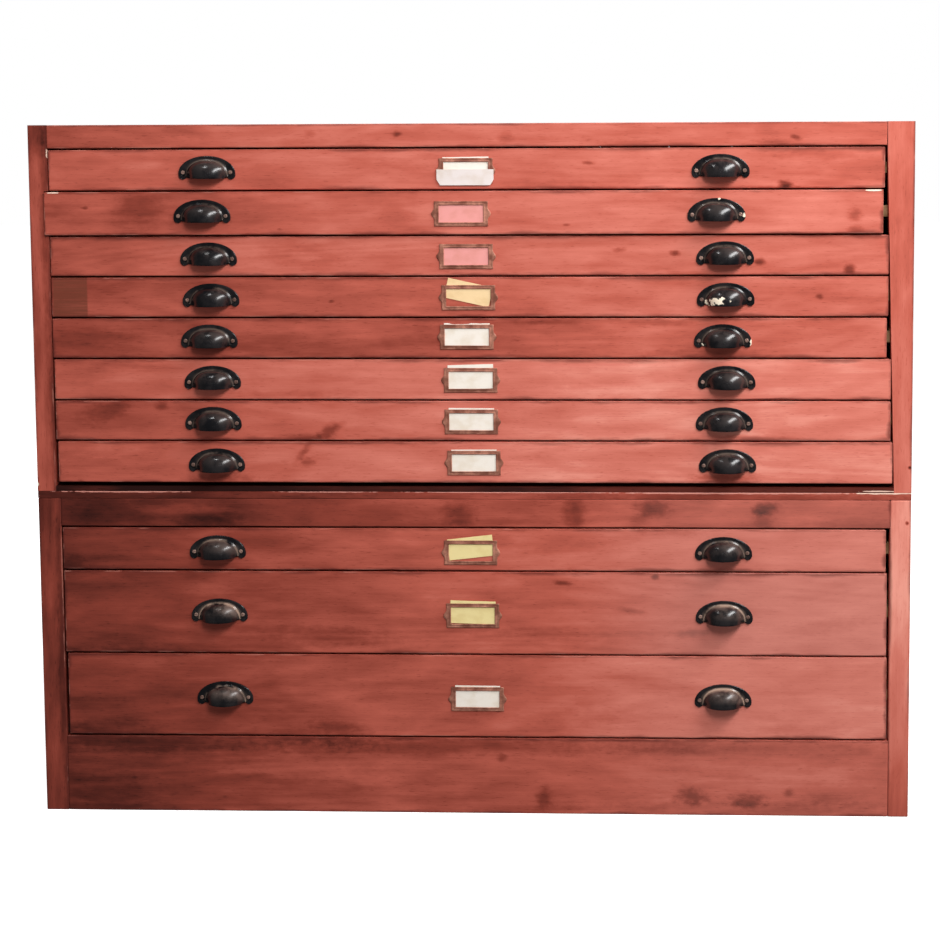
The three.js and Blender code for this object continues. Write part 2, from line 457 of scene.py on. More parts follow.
def stained_wood(
    name, low, high, along, seed, tone_and_shade,
    grime=1.0, rub_and_highlight=1.0, painted_sheen=0.0, edges=(X, Z), marks=(), chips=(), inlay=None,
):
    """Red stain on pine. Its paleness, 0 to 1 at even steps along the board, is the stain's own and
    painted shade, darker to the left and darkest low on the left; a painted sheen can pale the
    right end, and painted highlight pales some arrises.
    """
    shader = Shader(name)
    place = grain_place(shader, along, seed)
    cloud = shader.grain(place, 5, 19, detail=4, roughness=0.55, distortion=0.5)
    blotch = shader.grain(place, 13, 44, detail=3, distortion=0.4)
    streak = shader.grain(place, 3, 120, detail=5, roughness=0.6)
    fibre = shader.grain(place, 16, 650, detail=3, roughness=0.6)
    pore = shader.grain(place, 75, 700, detail=2)
    ragged = centred(shader, shader.grain(place, 70, 110, detail=4, roughness=0.6), 1.7)
    ring = rings(shader, place)
    knot = knots(shader, place, (4.5, 13, 13), 0.07, 0.16, ragged)
    speck = knots(shader, place, (13, 34, 34), 0.075, 0.12, ragged)

    # How pale the stain is: the board's own paleness, which carries painted shade darker to the
    # left, then clouds, rings, fibres and local marks.
    run = shader.between(shader.axes(shader.place())[along], low[along], high[along], smooth=False)
    stops = [(k / (len(tone_and_shade) - 1), grey(value)) for k, value in enumerate(tone_and_shade)]
    pale = shader.ramp(run, stops)
    for value, amount in (
        (cloud, 0.42), (blotch, 0.26), (streak, 0.12), (fibre, 0.09), (ring, -0.045),
    ):
        pale = shader.plus(pale, centred(shader, value, amount))
    pale = shader.minus(pale, shader.between(pore, 0.60, 0.72, 0.0, 0.10))
    pale = shader.minus(pale, shader.times(knot, 0.32))
    pale = shader.minus(pale, shader.times(speck, 0.24))
    for x, z, half_x, half_z, change, *turn in marks:
        mask = mark_mask(shader, x, z, half_x, half_z, ragged, *turn)
        pale = shader.plus(pale, shader.times(mask, change))
    colour = shader.ramp(pale, STAIN)
    # Painted sheen: the right end paled towards a hazy pink.
    colour = shader.mix(shader.between(run, 0.6, 0.8, 0.0, painted_sheen), colour, PAINTED_SHEEN)
    if inlay:
        browned = shader.between(fibre, 0.3, 0.7, 0.95, 0.6)
        browned = shader.times(inlay_mask(shader, *inlay), browned)
        colour = shader.mix(browned, colour, INLAY)

    # Dirt along the edges, arrises paled in places by rubbing and painted highlight, and a few
    # chips through the stain.
    edge = edge_distance(shader, low, high, edges)
    colour = shader.mix(dirt_mask(shader, place, edge, grime), colour, GRIME)
    rubbed_and_highlight = shader.times(rubbed_and_highlight_mask(shader, place, edge), 0.3 * rub_and_highlight)
    colour = shader.mix(rubbed_and_highlight, colour, RUBBED_AND_HIGHLIGHT)
    for x, z, half_x, half_z, paint in chips:
        mask = shader.between(mark_mask(shader, x, z, half_x, half_z, ragged), 0.35, 0.6)
        colour = shader.mix(mask, colour, paint)

    roughness = shader.between(streak, 0.3, 0.7, 0.66, 0.5)
    shader.set(Base_Color=colour, Roughness=roughness, Specular_IOR_Level=0.22)
    height = shader.plus(centred(shader, fibre, 0.6), centred(shader, streak, 0.8))
    height = shader.minus(height, shader.between(pore, 0.60, 0.72, 0.0, 0.5))
    shader.set(Normal=shader.bump(height, 0.22, 0.0007))
    return shader.material


def bare_pine(name, along, seed, light=srgb(205, 172, 130), dark=srgb(160, 122, 82), age=0.5):
    """Unfinished pine, yellowed and dusty."""
    shader = Shader(name)
    place = grain_place(shader, along, seed)
    fibre = shader.grain(place, 7, 420, detail=4, roughness=0.6)
    cloud = shader.grain(place, 3, 9, detail=4)
    ring = rings(shader, place)
    colour = shader.mix(shader.between(ring, 0.2, 1.0, 0.0, 0.65), light, dark)
    colour = shader.mix(shader.between(fibre, 0.6, 0.3, 0.0, 0.35), colour, dark)
    colour = shader.mix(shader.between(cloud, 0.42, 0.75, 0.0, age), colour, srgb(102, 78, 57))
    ragged = centred(shader, fibre, 1.5)
    knot = knots(shader, place, (4.5, 13, 13), 0.08, 0.16, ragged)
    colour = shader.mix(shader.times(knot, 0.85), colour, srgb(85, 53, 32))
    shader.set(Base_Color=colour, Roughness=shader.between(fibre, 0.3, 0.7, 0.8, 0.62))
    shader.set(Normal=shader.bump(shader.plus(fibre, ring), 0.18, 0.0005))
    return shader.material


# ---- Metal and paper ----


def black_iron(name, seed, worn, chips=()):
    """Black japanned iron. worn says how far the ridge and the top of the cup are worn to brown;
    the cup's upper right also carries a painted sheen of that brown on every pull.
    """
    shader = Shader(name)
    offset = (seed * 1.7, seed * 0.9, seed * 2.3)
    broad = shader.spots(38, offset, detail=4, roughness=0.6)
    fine = shader.spots(420, offset, detail=5, roughness=0.65)
    ridge = shader.node("Attribute", {}, attribute_name="ridge").outputs["Fac"]
    crown_sheen_and_wear = shader.node("Attribute", {}, attribute_name="crown_sheen_and_wear").outputs["Fac"]
    black = shader.mix(shader.between(broad, 0.35, 0.65), srgb(16, 16, 19), srgb(37, 34, 35))
    # Painted sheen: the cup's upper right paled towards brown-grey on every pull, and further on
    # worn pulls, where it is also wear.
    thin = shader.times(crown_sheen_and_wear, shader.between(broad, 0.30, 0.62))
    brown = srgb(134, 113, 103)
    colour = shader.mix(shader.times(thin, 0.10 + 0.75 * worn), black, brown)
    bare = shader.times(ridge, shader.between(broad, 0.34, 0.60))
    pale = srgb(190, 158, 138)
    colour = shader.mix(shader.times(bare, 0.10 + 0.7 * worn), colour, pale)
    rough = shader.between(thin, 0.0, 1.0, 0.23, 0.23 + 0.15 * worn)
    flakes = centred(shader, shader.spots(130, offset, detail=4), 4.5)
    for x, z, half_x, half_z in chips:
        mask = mark_mask(shader, x, z, half_x, half_z, flakes)
        colour = shader.mix(shader.between(mask, 0.3, 0.5), colour, srgb(246, 232, 208))
        rough = shader.plus(rough, shader.times(mask, 0.4))
    shader.set(Base_Color=colour, Roughness=rough, Specular_IOR_Level=0.5)
    dents = shader.plus(fine, shader.times(broad, 4.0))
    shader.set(Normal=shader.bump(dents, 0.03, 0.0005))
    return shader.material


def tarnished_brass(name, seed, deep, pale):
    """Dull brass between a deep and a pale colour."""
    shader = Shader(name)
    offset = (seed, seed * 0.7, seed * 1.3)
    fine = shader.spots(210, offset, detail=5, roughness=0.6)
    broad = shader.spots(60, offset, detail=3)
    colour = shader.mix(shader.between(broad, 0.32, 0.68), deep, pale)
    colour = shader.mix(shader.between(fine, 0.62, 0.35, 0.0, 0.45), colour, deep)
    roughness = shader.between(fine, 0.3, 0.7, 0.58, 0.42)
    shader.set(Base_Color=colour, Metallic=0.25, Roughness=roughness)
    shader.set(Normal=shader.bump(fine, 0.18, 0.0004))
    return shader.material


def paper(name, colour, seed):
    shader = Shader(name)
    offset = (seed * 1.1, seed * 2.1, seed)
    fibre = shader.spots(700, offset, detail=4, roughness=0.6)
    cloud = shader.noise(shader.stretched(shader.place(), (45, 45, 60), offset), detail=4)
    soiled = tuple(channel * shade for channel, shade in zip(colour, (0.90, 0.86, 0.80, 1.0)))
    tint = shader.mix(shader.between(cloud, 0.4, 0.75), colour, soiled)
    tint = shader.mix(shader.between(fibre, 0.6, 0.35, 0.0, 0.12), tint, soiled)
    shader.set(Base_Color=tint, Roughness=0.85)
    shader.set(Normal=shader.bump(fibre, 0.12, 0.0003))
    return shader.material


# ---- Cup pulls ----

PULL_HALF_WIDTH = 45.5 * MM
PULL_HEIGHT = 37 * MM
ARCH_SPRING = 9 * MM
EAR_RADIUS = 7 * MM
RIDGE_HALF_WIDTH = 32.5 * MM
LIP_HALF_WIDTH = 28 * MM
CUP_HEIGHT = 28 * MM
CUP_BOTTOM = 1.5 * MM
CUP_REACH = 27 * MM
CUP_WALL = 2.2 * MM
CUP_SQUARENESS = 0.84
FLANGE = 2.4 * MM
ARCH_SECTIONS = 52
EAR_SECTIONS = 7
HOOD_STEPS = 12
INSIDE_STEPS = 6
RIM_POINTS = 9
SCREW_X = 37.8 * MM
SCREW_Z = 11 * MM


def pull_section(outer, rim, hood):
    """One closed loop from the flange's outer edge over the ridge and hood and back underneath."""
    inwards = (rim - outer).normalized()
    band = (rim - outer).length
    loop = []
    for way, forward in (
        (0, 0),
        (0, 0.55 * FLANGE),
        (0.3 * MM, 0.88 * FLANGE),
        (1.0 * MM, FLANGE),
        (0.5 * band, FLANGE - 0.3 * MM),
        (band - 2.4 * MM, FLANGE - 0.4 * MM),
        (band - 1.7 * MM, FLANGE + 0.3 * MM),
        (band - 0.9 * MM, FLANGE + 1.2 * MM),
        (band, FLANGE + 1.4 * MM),
    ):
        flat = outer + inwards * min(max(way, 0.0), band)
        loop.append((flat.x, -forward, flat.y))
    return loop + hood


def ridge_point(sweep):
    """Where the cup meets the flange, from the right ear at 0 over the top to the left at pi."""
    across = math.cos(sweep)
    return Vector((
        RIDGE_HALF_WIDTH * math.copysign(abs(across) ** CUP_SQUARENESS, across),
        CUP_BOTTOM + CUP_HEIGHT * abs(math.sin(sweep)) ** CUP_SQUARENESS,
    ))


def hood_point(sweep, angle, inset):
    """A point of the dome: angle runs from 0 at the ridge to 90 degrees at the lip."""
    rim = ridge_point(sweep)
    start = FLANGE + 1.1 * MM
    reach = max(start, CUP_REACH * math.sin(sweep)) - inset
    height = rim.y - CUP_BOTTOM - inset
    out = math.sin(angle)
    x = rim.x + (LIP_HALF_WIDTH * math.cos(sweep) - rim.x) * out**2
    forward = start - inset + (reach - start + inset) * out
    return (x, -max(forward, 0.0), CUP_BOTTOM + max(height, 0.0) * max(math.cos(angle), 0.0))


def hood_points(sweep):
    """The hood's part of a section: out over the bulge, round the lip, and back inside."""
    wall = min(CUP_WALL, 0.45 * CUP_REACH * math.sin(sweep))
    outside = range(1, HOOD_STEPS + 1)
    points = [hood_point(sweep, math.pi / 2 * k / HOOD_STEPS, 0.0) for k in outside]
    x, y, z = points[-1]
    lip = min(0.8 * MM, 0.3 * wall)
    points += [(x, y + share * wall, z - lip) for share in (0.25, 0.75)]
    for k in range(INSIDE_STEPS, 0, -1):
        points.append(hood_point(sweep, math.pi / 2 * k / INSIDE_STEPS, wall))
    x, y, z = hood_point(sweep, 0.0, wall)
    points.append((x, 0.0, z))
    return points


def ear_points(outer, inner):
    """The same number of points as hood_points, laid over the flat inner part of an ear."""
    points = []
    middle = outer.lerp(inner, 0.62)
    for step in range(1, HOOD_STEPS + 1):
        flat = middle.lerp(inner, step / HOOD_STEPS)
        points.append((flat.x, -FLANGE * (1 if step < HOOD_STEPS else 0.8), flat.y))
    points += [(inner.x, -share * FLANGE, inner.y) for share in (0.6, 0.3)]
    for step in range(INSIDE_STEPS + 1):
        flat = inner.lerp(middle, step / (INSIDE_STEPS + 2))
        points.append((flat.x, 0.0, flat.y))
    return points


def ear_section(angle):
    """A slice through the right ear, outer side first; angle runs from 0 to 90 degrees."""
    centre = Vector((PULL_HALF_WIDTH - EAR_RADIUS, EAR_RADIUS))
    swing = EAR_RADIUS * math.cos(angle)
    drop = EAR_RADIUS * math.sin(angle)
    outer = centre + Vector((swing, -drop))
    inner = centre + Vector((-swing, -drop))
    edge = pull_section(outer, outer.lerp(inner, 0.6), [])
    return [(x, max(y, -FLANGE), z) for x, y, z in edge] + ear_points(outer, inner)


def crown_sheen_and_wear_value(step, sweep):
    """How much painted sheen and wear the cup gets: most over its upper right, not at the lip or on
    the left end.
    """
    along = math.sin(math.pi * min(1.0, step / (0.8 * HOOD_STEPS)))
    return max(0.0, along) * math.sin(sweep) ** 0.5 * (0.55 + 0.45 * math.cos(sweep))


def pull_body():
    """The whole pull as one closed loft on the plane y = 0, with its ridge values and its values of
    painted sheen and wear on the cup.
    """
    sections, ridge, crown_sheen_and_wear = [], [], []
    loop = RIM_POINTS + HOOD_STEPS + 2 + INSIDE_STEPS + 1
    ears = [ear_section(math.radians(84) * k / (EAR_SECTIONS - 1)) for k in range(EAR_SECTIONS)]
    sections += ears[::-1]
    for k in range(ARCH_SECTIONS + 1):
        sweep = math.pi * (0.012 + 0.976 * k / ARCH_SECTIONS)
        outer = Vector((
            PULL_HALF_WIDTH * math.cos(sweep),
            ARCH_SPRING + (PULL_HEIGHT - ARCH_SPRING) * math.sin(sweep),
        ))
        sections.append(pull_section(outer, ridge_point(sweep), hood_points(sweep)))
    sections += [[(-x, y, z) for x, y, z in ear] for ear in ears]
    on_ridge = {5: 0.2, 6: 0.6, 7: 1.0, 8: 1.0, 9: 0.8, 10: 0.4}
    for index in range(len(sections)):
        k = index - EAR_SECTIONS
        on_arch = 0 <= k <= ARCH_SECTIONS
        sweep = math.pi * min(1.0, max(0.0, k / ARCH_SECTIONS))
        for place in range(loop):
            step = place - RIM_POINTS + 1
            ridge.append(on_ridge.get(place, 0.0) if on_arch else 0.0)
            crown_sheen_and_wear.append(crown_sheen_and_wear_value(step, sweep) if on_arch and 0 < step < HOOD_STEPS else 0.0)
    return loft(sections), ridge, crown_sheen_and_wear


def screw_body(x, z, radius, dome, turn, base):
    """A domed screw head with a slot, against the plane y = -base."""
    lines = [-1, -0.75, -0.45, -0.17, -0.14, 0.14, 0.17, 0.45, 0.75, 1]
    count = len(lines)
    points = []
    for v in (-1, -0.8, -0.5, -0.2, 0.2, 0.5, 0.8, 1):
        for u in lines:
            across = u * math.sqrt(1 - v * v / 2)
            down = v * math.sqrt(1 - u * u / 2)
            height = dome * math.sqrt(max(0.0, 1 - 0.85 * (across**2 + down**2)))
            if abs(u) < 0.16 and abs(v) < 1:
                height = 0.25 * dome
            px = radius * (across * math.cos(turn) - down * math.sin(turn))
            pz = radius * (across * math.sin(turn) + down * math.cos(turn))
            points.append((x + px, -base - height, z + pz))
    rows = len(points) // count
    rim = grid_rim(rows, count)
    foot = list(range(len(points), len(points) + len(rim)))
    points += [(points[k][0], -base + 0.2 * MM, points[k][2]) for k in rim]
    return points, grid_faces(rows, count) + rim_faces(rim, foot) + [foot]


def set_values(piece, name, values):
    """A number for every vertex, which the material reads."""
    attribute = piece.data.attributes.new(name, "FLOAT", "POINT")
    attribute.data.foreach_set("value", values)


def make_pull(drawer, side, iron, brass, seed):
    node = f"{drawer}_pull_{side}"
    low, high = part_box(node)
    rng = random.Random(seed)
    place = Matrix.Translation(((low.x + high.x) / 2, high.y, low.z))
    tilt = Matrix.Rotation(math.radians(rng.uniform(-0.5, 0.5)), 4, "Y")
    middle = Matrix.Translation((0, 0, PULL_HEIGHT / 2))
    place = place @ middle @ tilt @ middle.inverted()
    body, ridge, crown_sheen_and_wear = pull_body()
    piece = mesh_piece(f"{node}_iron", [body], iron)
    set_values(piece, "ridge", ridge)
    set_values(piece, "crown_sheen_and_wear", crown_sheen_and_wear)
    screws = [
        screw_body(hand * SCREW_X, SCREW_Z, 3.1 * MM, 1.1 * MM, rng.uniform(0, math.pi), FLANGE)
        for hand in (-1, 1)
    ]
    screw_piece = mesh_piece(f"{node}_screws", screws, brass)
    for made in (piece, screw_piece):
        made.data.transform(place)
        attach(made, drawer)
    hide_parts(node)


# ---- Label holders and cards ----

WINDOW_HALF = (35.2 * MM, 13.6 * MM)
HOLDER_HALF_WIDTH = 42.5 * MM
EAR_REACH = 4.8 * MM
EAR_HALF = 8.5 * MM
END_STEPS = 16
LONG_STEPS = 12

# Rings of the holder's section from the window outwards and back: how far out from the window
# (6 is the outer edge), how much of the pointed ears, and how far off the front, in millimetres.
HOLDER_RINGS = (
    (0.0, 0.0, 0.9), (0.0, 0.0, 1.9), (0.6, 0.0, 2.3), (1.3, 0.0, 2.2), (2.2, 0.0, 1.5),
    (3.6, 0.0, 1.4), (4.6, 0.25, 1.7), (5.4, 0.7, 1.7), (6.0, 1.0, 1.1), (6.0, 1.0, 0.0),
    (3.0, 0.1, 0.0), (3.0, 0.0, 0.9),
)


def holder_loop(half, ears, y):
    """A rectangle of points around the window, with a pointed ear at the middle of each end."""
    w, h = half
    loop = []
    for hand in (1, -1):
        for k in range(END_STEPS):
            v = hand * (-1 + 2 * k / END_STEPS)
            ear = max(0.0, 1 - abs(v * h) / EAR_HALF)
            point = ears * EAR_REACH * (3 * ear**2 - 2 * ear**3) ** 0.8
            loop.append((hand * (w + point), y, v * h))
        for k in range(LONG_STEPS):
            loop.append((hand * w * (1 - 2 * k / LONG_STEPS), y, hand * h))
    return loop


def holder_body():
    """Pressed brass frame: raised rim round the window and round the outside, hollow between."""
    w, h = WINDOW_HALF
    rings_of_points = []
    for grow, ears, y in HOLDER_RINGS:
        half = (w + grow / 6 * 7.3 * MM, h + grow / 6 * 6.1 * MM)
        rings_of_points.append(holder_loop(half, ears, -y * MM))
    return loft(rings_of_points, closed=True)


def sheet_body(half, y, thickness, bend, lift=0.0, corner_cut=0.0, tear=0.0, seed=0):
    """A thin card with a slight bend, as a closed body; tear roughens its upper edge."""
    w, h = half
    columns = 24
    front, back = [], []
    rows = [-h, -h + corner_cut, h] if corner_cut else [-h, 0, h]
    for z in rows:
        cut = corner_cut * 0.6 if corner_cut and z == -h else 0.0
        for k in range(columns + 1):
            u = -1 + 2 * k / columns
            depth = y - bend * (1 - u * u) - lift * ((z + h) / (2 * h)) ** 2
            drop = tear * max(0.0, wobble(u * 3.1, 2, seed) + 0.2) if z == h else 0.0
            front.append(((w - cut) * u, depth, z - drop))
            back.append(((w - cut) * u, depth + thickness, z - drop))
    total = len(front)
    faces = grid_faces(len(rows), columns + 1)
    faces += [[total + k for k in face[::-1]] for face in faces]
    rim = grid_rim(len(rows), columns + 1)
    return front + back, faces + rim_faces(rim, [total + k for k in rim])


WHITE = srgb(252, 242, 230)
GREYED = srgb(238, 226, 222)
PINK = srgb(242, 162, 156)
CREAM = srgb(252, 218, 168)
KHAKI = srgb(246, 226, 162)

# For each drawer, in millimetres and degrees: the holder's middle, x from the chest's middle and
# z from the middle of the front; the card's colour, its height, how far its middle is above the
# holder's, and its tilt, clockwise.
LABELS = {
    "drawer_01": (-3.5, -2.7, WHITE, 35, 4.0, -0.8),
    "drawer_02": (-11.0, -1.5, PINK, 30, 0.0, 0.0),
    "drawer_03": (-4.0, -1.0, PINK, 30, 0.0, 0.5),
    "drawer_04": (-1.0, -0.9, CREAM, 32, 8.0, 12.5),
    "drawer_05": (-4.0, 1.9, WHITE, 35.5, 4.2, 0.3),
    "drawer_06": (1.5, -1.1, WHITE, 39, 5.5, -1.6),
    "drawer_07": (2.0, -1.6, WHITE, 35.5, 4.2, 0.4),
    "drawer_08": (5.5, -0.7, WHITE, 35, 3.9, -0.4),
    "drawer_09": (-1.0, -4.7, KHAKI, 34, 8.2, -6.5),
    "drawer_10": (1.5, -4.0, KHAKI, 37, 5.4, 1.6),
    "drawer_11": (8.0, -4.7, WHITE, 35.5, 4.3, 0.5),
}
CARD_HALF_WIDTH = 36.3 * MM
TORN_CARD = "drawer_05"
TAPED_OVER = "drawer_01"            # its holder has a second paper taped across it


def make_label(drawer, seed):
    x, z, colour, height, rise, tilt = LABELS[drawer]
    low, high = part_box(f"{drawer}_front")
    place = Matrix.Translation((x * MM, low.y, (low.z + high.z) / 2 + z * MM))
    brass = tarnished_brass(f"{drawer}_holder_brass", seed, srgb(138, 82, 65), srgb(208, 142, 119))
    holder = mesh_piece(f"{drawer}_label_holder", [holder_body()], brass)
    pins = [
        screw_body(hand * (HOLDER_HALF_WIDTH + 0.6 * MM), 0, 1.5 * MM, 0.8 * MM, seed, 1.0 * MM)
        for hand in (-1, 1)
    ]
    pin_piece = mesh_piece(f"{drawer}_holder_pins", pins, brass)
    body = sheet_body(
        (CARD_HALF_WIDTH, height / 2 * MM), y=-0.75 * MM, thickness=0.35 * MM, bend=0.1 * MM,
        tear=4 * MM if drawer == TORN_CARD else 0.0, seed=seed,
    )
    material = paper(f"{drawer}_card_paper", colour, seed)
    card = mesh_piece(f"{drawer}_card", [body], material, smooth=False)
    turn = Matrix.Rotation(math.radians(tilt), 4, "Y")
    card.data.transform(Matrix.Translation((0, 0, rise * MM)) @ turn)
    made_pieces = [(holder, "aged_brass"), (pin_piece, "aged_brass"), (card, "card")]
    if drawer == TAPED_OVER:
        body = sheet_body(
            (45 * MM, 12.5 * MM), y=-2.6 * MM, thickness=0.3 * MM, bend=0.35 * MM,
            lift=0.5 * MM, corner_cut=9 * MM,
        )
        material = paper(f"{drawer}_taped_paper", GREYED, seed + 3)
        taped = mesh_piece(f"{drawer}_taped_paper", [body], material, smooth=False)
        taped.data.transform(Matrix.Translation((-1 * MM, 0, -10.5 * MM)))
        made_pieces.append((taped, "card"))
    for made, slot in made_pieces:
        made.data.transform(place)
        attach(made, drawer)


# ---- Drawers ----

HARD_WEAR = 0.9 * MM                # of the boards that show in front
TRAY_SIDE = 20 * MM
TRAY_BACK = 15 * MM
TRAY_BOTTOM = 7 * MM
TRAY_STEPS = 6
TRAY_ARRIS = 1.2 * MM
GROOVE_DEPTH = 9 * MM
GROOVE_HALF = 10 * MM

# How pale each front is, in even steps from left to right, which is its stain and painted shade
# darker to the left;
# how far a painted sheen pales its right side; marks as (x, z, half width, half height, change in
# paleness, turn in degrees if any), and chips as (x, z, half width, half height, colour). Places
# and sizes of both are in millimetres.
FRONT_LOOKS = {
    "drawer_01": dict(
        tone_and_shade=(0.65, 0.65, 0.70, 0.75, 0.70),
        marks=[
            (499, 1014, 12, 7, -0.45), (480, 1009, 55, 4, -0.2), (-90, 1058, 80, 12, 0.06, 4),
            (190, 1049, 9, 3, -0.3), (120, 1012, 60, 8, -0.1), (560, 1060, 80, 8, -0.08),
        ],
    ),
    "drawer_02": dict(
        tone_and_shade=(0.55, 0.60, 0.70, 0.75, 0.75),
        marks=[
            (606, 966, 13, 9, -0.22), (609, 943, 14, 8, -0.24), (-520, 984, 44, 44, -0.12),
            (-110, 975, 30, 32, -0.06), (-650, 975, 40, 40, -0.06),
        ],
        chips=[(635, 1005, 15, 1.8, BARE), (-659, 1005, 12, 1.4, CREAM_EDGE)],
    ),
    "drawer_03": dict(
        tone_and_shade=(0.50, 0.70, 0.70, 0.70, 0.70),
        marks=[
            (326, 907, 8, 5, -0.35), (458, 893, 11, 6, -0.38), (600, 880, 9, 9, -0.38),
            (-270, 905, 60, 20, -0.07, 5), (-262, 902, 26, 9, 0.1, 5), (238, 912, 10, 4, -0.25),
        ],
    ),
    "drawer_04": dict(
        tone_and_shade=(0.45, 0.55, 0.65, 0.75, 0.70),
        marks=[(553, 838, 6, 4, -0.25), (60, 818, 70, 10, -0.08, 3)],
        inlay=(-666 * MM, -611 * MM),
    ),
    "drawer_05": dict(
        tone_and_shade=(0.45, 0.50, 0.55, 0.65, 0.70),
        marks=[
            (-600, 775, 80, 14, -0.08), (380, 748, 90, 10, -0.12), (300, 797, 60, 5, -0.14),
            (120, 798, 50, 4, -0.14), (-60, 770, 90, 10, -0.08, -4),
        ],
    ),
    "drawer_06": dict(
        tone_and_shade=(0.60, 0.70, 0.80, 0.85, 0.80),
        marks=[
            (-560, 730, 60, 10, -0.08, -5), (230, 690, 80, 9, 0.06, 4), (-300, 684, 90, 6, -0.08),
        ],
    ),
    "drawer_07": dict(
        tone_and_shade=(0.50, 0.65, 0.75, 0.85, 0.85),
        marks=[
            (-585, 658, 42, 16, -0.16, -20), (-495, 664, 10, 7, -0.2),
            (-226, 625, 24, 9, -0.26, -28), (-260, 614, 50, 6, -0.14), (420, 614, 90, 5, -0.12),
        ],
    ),
    "drawer_08": dict(
        tone_and_shade=(0.55, 0.70, 0.80, 0.85, 0.85),
        marks=[
            # The two marks a pull wide, just below the pulls at x -400 and 407, are painted shadows
            # of the pulls.
            (-268, 590, 20, 6, -0.2, -50), (-262, 574, 12, 7, -0.2), (-400, 548, 46, 9, -0.26),
            (407, 550, 46, 9, -0.3), (-560, 590, 60, 10, 0.08), (60, 580, 70, 12, -0.06, 3),
        ],
    ),
    "drawer_09": dict(
        tone_and_shade=(0.25, 0.50, 0.65, 0.75, 0.75), painted_sheen=0.15,
        marks=[(-650, 407, 24, 15, -0.16), (120, 440, 110, 14, -0.06, 3), (330, 462, 50, 6, -0.14)],
    ),
    "drawer_10": dict(
        tone_and_shade=(0.30, 0.50, 0.60, 0.70, 0.75), painted_sheen=0.25,
        marks=[
            (294, 390, 7, 5, -0.4), (148, 379, 16, 4, -0.3, 5), (254, 335, 22, 5, -0.2, 8),
            (362, 300, 40, 7, -0.16, -5), (-557, 262, 90, 12, -0.12), (560, 310, 70, 14, -0.12, -8),
            (455, 300, 60, 9, 0.1, 4), (-240, 290, 110, 16, -0.12, 3), (150, 296, 120, 10, -0.1),
        ],
    ),
    "drawer_11": dict(
        tone_and_shade=(0.30, 0.50, 0.60, 0.80, 0.85), painted_sheen=0.1,
        marks=[
            (-215, 136, 50, 15, -0.18, 6), (-560, 200, 90, 24, 0.06), (200, 160, 190, 12, -0.08),
            (520, 140, 70, 9, -0.12), (-590, 140, 80, 12, -0.12),
        ],
    ),
}


def make_front(drawer, seed):
    node = f"{drawer}_front"
    low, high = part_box(node)
    material = stained_wood(f"{drawer}_stain", low, high, X, seed, **FRONT_LOOKS[drawer])
    body = board_body(low, high, X, seed, wear=HARD_WEAR, step=0.012, chips=3.5 * MM)
    wooden_piece(f"{drawer}_front_board", [body], material, drawer, node)


def front_middle(drawer):
    """The height where the drawer's runners and grooves are."""
    low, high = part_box(f"{drawer}_front")
    return (low.z + high.z) / 2


def make_tray(drawer, seed):
    """The tray's boards: grooved sides, back and bottom, apart from each other."""
    node = f"{drawer}_tray"
    low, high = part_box(node)
    middle = front_middle(drawer)
    groove_low, groove_high = middle - GROOVE_HALF, middle + GROOVE_HALF
    pine = bare_pine(f"{drawer}_tray_pine", Y, seed)
    for name, x, hand in (("left", low.x, 1), ("right", high.x, -1)):
        inside = x + hand * TRAY_SIDE
        groove_x = x + hand * GROOVE_DEPTH
        outline = [
            (x, low.z), (inside, low.z), (inside, high.z), (x, high.z),
            (x, groove_high), (groove_x, groove_high), (groove_x, groove_low), (x, groove_low),
        ]
        loops = [
            [(px, low.y + (high.y - low.y) * k / TRAY_STEPS, pz) for px, pz in outline]
            for k in range(TRAY_STEPS + 1)
        ]
        side = [loft(loops)]
        wooden_piece(f"{drawer}_side_{name}", side, pine, drawer, node, TRAY_ARRIS)
    left, right = low.x + TRAY_SIDE, high.x - TRAY_SIDE
    behind = high.y - TRAY_BACK
    pine = bare_pine(f"{drawer}_back_pine", X, seed + 1)
    body = board_body((left, behind, low.z), (right, high.y, high.z), X, seed + 1, step=0.2)
    wooden_piece(f"{drawer}_back", [body], pine, drawer, node)
    pine = bare_pine(f"{drawer}_bottom_pine", Y, seed + 2, light=srgb(214, 184, 144))
    corner = (right, behind, low.z + TRAY_BOTTOM)
    bodies = planks((left, low.y, low.z), corner, Y, X, 7, seed + 2, step=0.3)
    wooden_piece(f"{drawer}_bottom", bodies, pine, drawer, node)


# ---- Case ----

